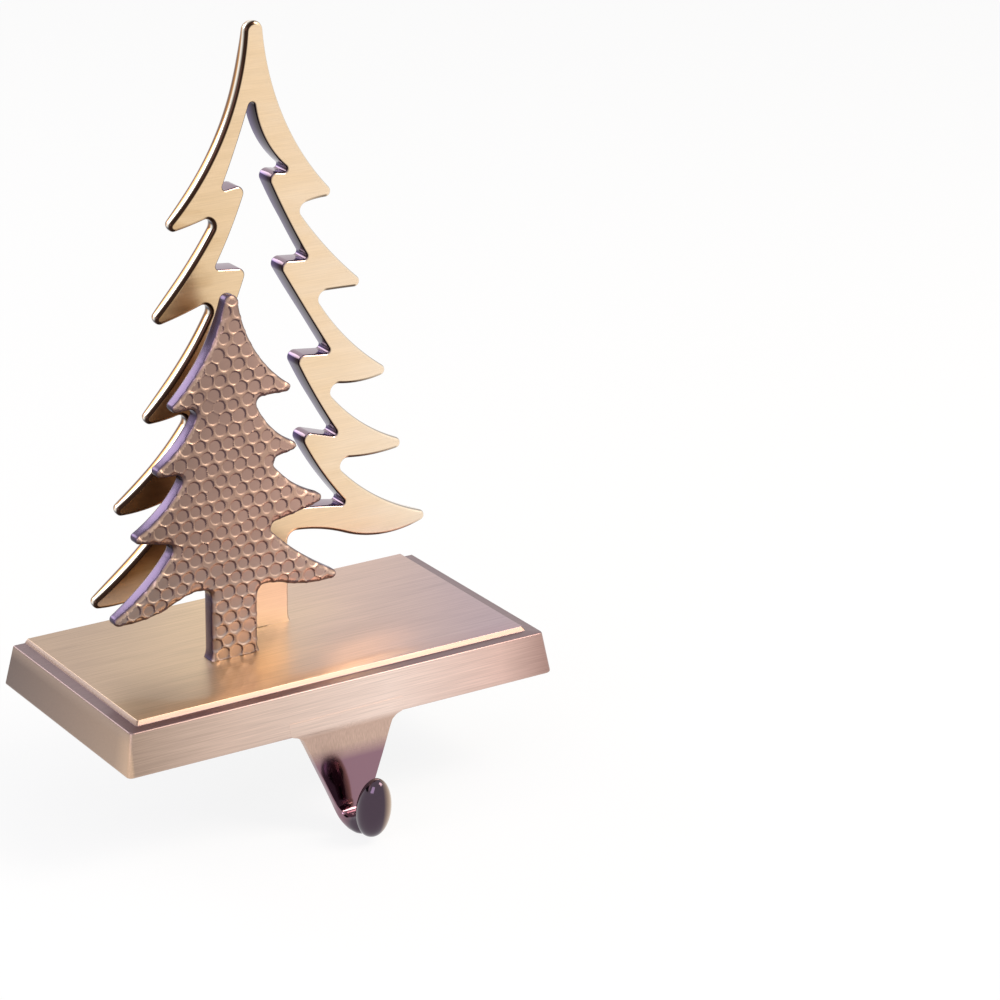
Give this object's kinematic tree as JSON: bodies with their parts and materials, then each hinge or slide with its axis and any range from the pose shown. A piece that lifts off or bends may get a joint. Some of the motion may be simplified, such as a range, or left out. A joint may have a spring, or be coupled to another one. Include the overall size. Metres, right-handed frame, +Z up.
{
  "type": "stocking_holder",
  "caption": "Mantel stocking holder in brass finish: a weighted base with an openwork fir tree, a small hammered fir and a hook over the mantel's front edge",
  "frame": {"origin": "Middle of the underside of the non-slip pad, on the mantel's top", "axes": "+X runs along the mantel to the viewer's right, -Y faces the room, +Z is up"},
  "size_m": [0.1248, 0.0834, 0.1997],
  "materials": {
    "antique_brass": "antique brass plating on a zinc casting, brushed along the base and down the tongue",
    "brushed_brass": "brass plating on a zinc casting, brushed across the face",
    "hammered_brass": "hammered face with smooth sides, brass plated",
    "screw_steel": "zinc plated steel",
    "pad_rubber": "matt black non-slip sheet"
  },
  "bodies": {
    "root": {"base_with_hook": "antique_brass", "back_tree": "brushed_brass", "front_tree": "hammered_brass", "tree_screws": "screw_steel", "non_slip_pad": "pad_rubber"}
  },
  "joints": []
}
